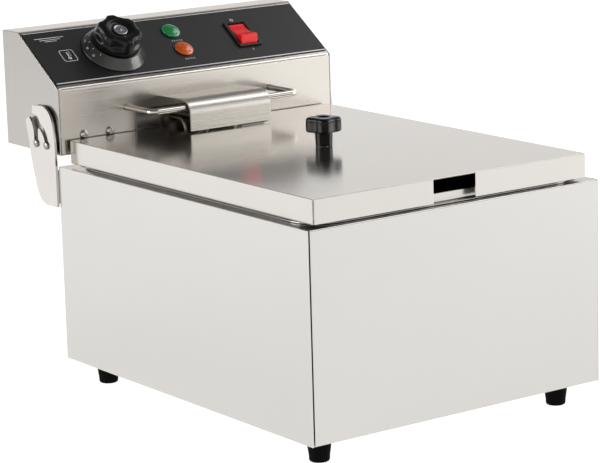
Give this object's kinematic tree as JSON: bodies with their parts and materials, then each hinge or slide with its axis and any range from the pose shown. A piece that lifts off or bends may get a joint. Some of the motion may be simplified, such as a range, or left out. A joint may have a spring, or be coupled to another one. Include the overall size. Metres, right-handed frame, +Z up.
{
  "type": "deep fryer",
  "caption": "Countertop electric deep fryer: folded steel casing with oil tank, loose lid with knob, and a control head with heating element that tips back on hinge plates.",
  "frame": {"origin": "centre of the overall footprint, at the level of the feet's treads", "axes": "+X to the right seen from the front, +Y to the back, +Z up; the front panel faces -Y"},
  "size_m": [0.2788, 0.4296, 0.2859],
  "materials": {
    "stainless": "fine brushed stainless sheet",
    "polished_steel": "polished stainless wire and pins",
    "dark_steel": "dull heat-darkened steel",
    "zinc_steel": "zinc-plated steel",
    "brass": "turned brass",
    "black_rubber": "matt moulded rubber",
    "black_plastic": "satin moulded phenolic",
    "control_film": "smooth printed film",
    "dial_skirt": "spun, darkened",
    "green_lens": "moulded clear green",
    "orange_lens": "moulded clear orange",
    "red_rocker": "moulded clear red",
    "cream_plastic": "moulded, matt"
  },
  "bodies": {
    "casing": {"casing_front": "stainless", "casing_wrap": "stainless", "bottom_plate": "zinc_steel", "oil_tank": "stainless", "hinge_plate_left": "stainless", "hinge_plate_right": "stainless", "foot_front_left": "black_rubber", "foot_front_right": "black_rubber", "foot_rear_left": "black_rubber", "foot_rear_right": "black_rubber", "foot_screw_front_left": "zinc_steel", "foot_screw_front_right": "zinc_steel", "foot_screw_rear_left": "zinc_steel", "foot_screw_rear_right": "zinc_steel", "hinge_screw_lower_left": "zinc_steel", "hinge_screw_upper_left": "zinc_steel", "hinge_screw_lower_right": "zinc_steel", "hinge_screw_upper_right": "zinc_steel"},
    "head": {"head_shell": "stainless", "head_rear_cover": "stainless", "head_end_left": "stainless", "head_end_right": "stainless", "underside_screw_left": "zinc_steel", "underside_screw_right": "zinc_steel", "back_screw_left": "zinc_steel", "back_screw_right": "zinc_steel", "control_film": "control_film", "thermostat": "cream_plastic", "lamp_green": "green_lens", "lamp_orange": "orange_lens", "switch_body": "black_plastic", "basket_hanger": "polished_steel", "element_cover": "stainless", "element_plate": "dark_steel", "dome_screw_inner": "polished_steel", "dome_screw_outer": "polished_steel", "heating_element": "dark_steel", "thermostat_bulb": "polished_steel", "cut_out_bulb": "polished_steel", "element_nut_left": "brass", "element_nut_right": "brass", "micro_switch": "black_plastic", "cut_out": "cream_plastic", "terminal_block": "cream_plastic", "cord_gland": "black_plastic", "pivot_pin_left": "polished_steel", "pivot_pin_right": "polished_steel", "guide_pin_left": "polished_steel", "guide_pin_right": "polished_steel"},
    "dial": {"dial_grip": "black_plastic", "dial_skirt": "dial_skirt", "dial_cap": "polished_steel", "dial_shaft": "zinc_steel"},
    "rocker": {"switch_rocker": "red_rocker"},
    "reset": {"reset_button": "red_rocker"},
    "blade": {"micro_switch_blade": "cream_plastic"},
    "lid": {"lid_tray": "stainless", "lid_knob": "black_plastic", "lid_knob_screw": "zinc_steel"}
  },
  "joints": [
    {"name": "head_tilt", "type": "hinge", "parent": "casing", "child": "head", "pos_m": [0, 0.14845, 0.1905], "axis": [-1, 0, 0], "range_deg": [0, 80]},
    {"name": "lid_pull", "type": "slide", "parent": "head", "child": "lid", "axis": [0, -0.9659, 0.2588], "range_m": [0, 0.35]},
    {"name": "dial_turn", "type": "hinge", "parent": "head", "child": "dial", "pos_m": [-0.0627, 0.14727, 0.25677], "axis": [0, 0.5602, -0.8283], "range_deg": [0, 270]},
    {"name": "rocker_tip", "type": "hinge", "parent": "head", "child": "rocker", "pos_m": [0.0644, 0.14904, 0.25416], "axis": [1, 0, 0], "range_deg": [0, 36]},
    {"name": "reset_press", "type": "slide", "parent": "head", "child": "reset", "axis": [0, -1, 0], "range_m": [0, 0.002], "stiffness_N_per_m": 300, "springref_m": -0.002},
    {"name": "blade_press", "type": "slide", "parent": "head", "child": "blade", "axis": [0, 0, 1], "range_m": [0, 0.002], "stiffness_N_per_m": 200, "springref_m": -0.002}
  ]
}
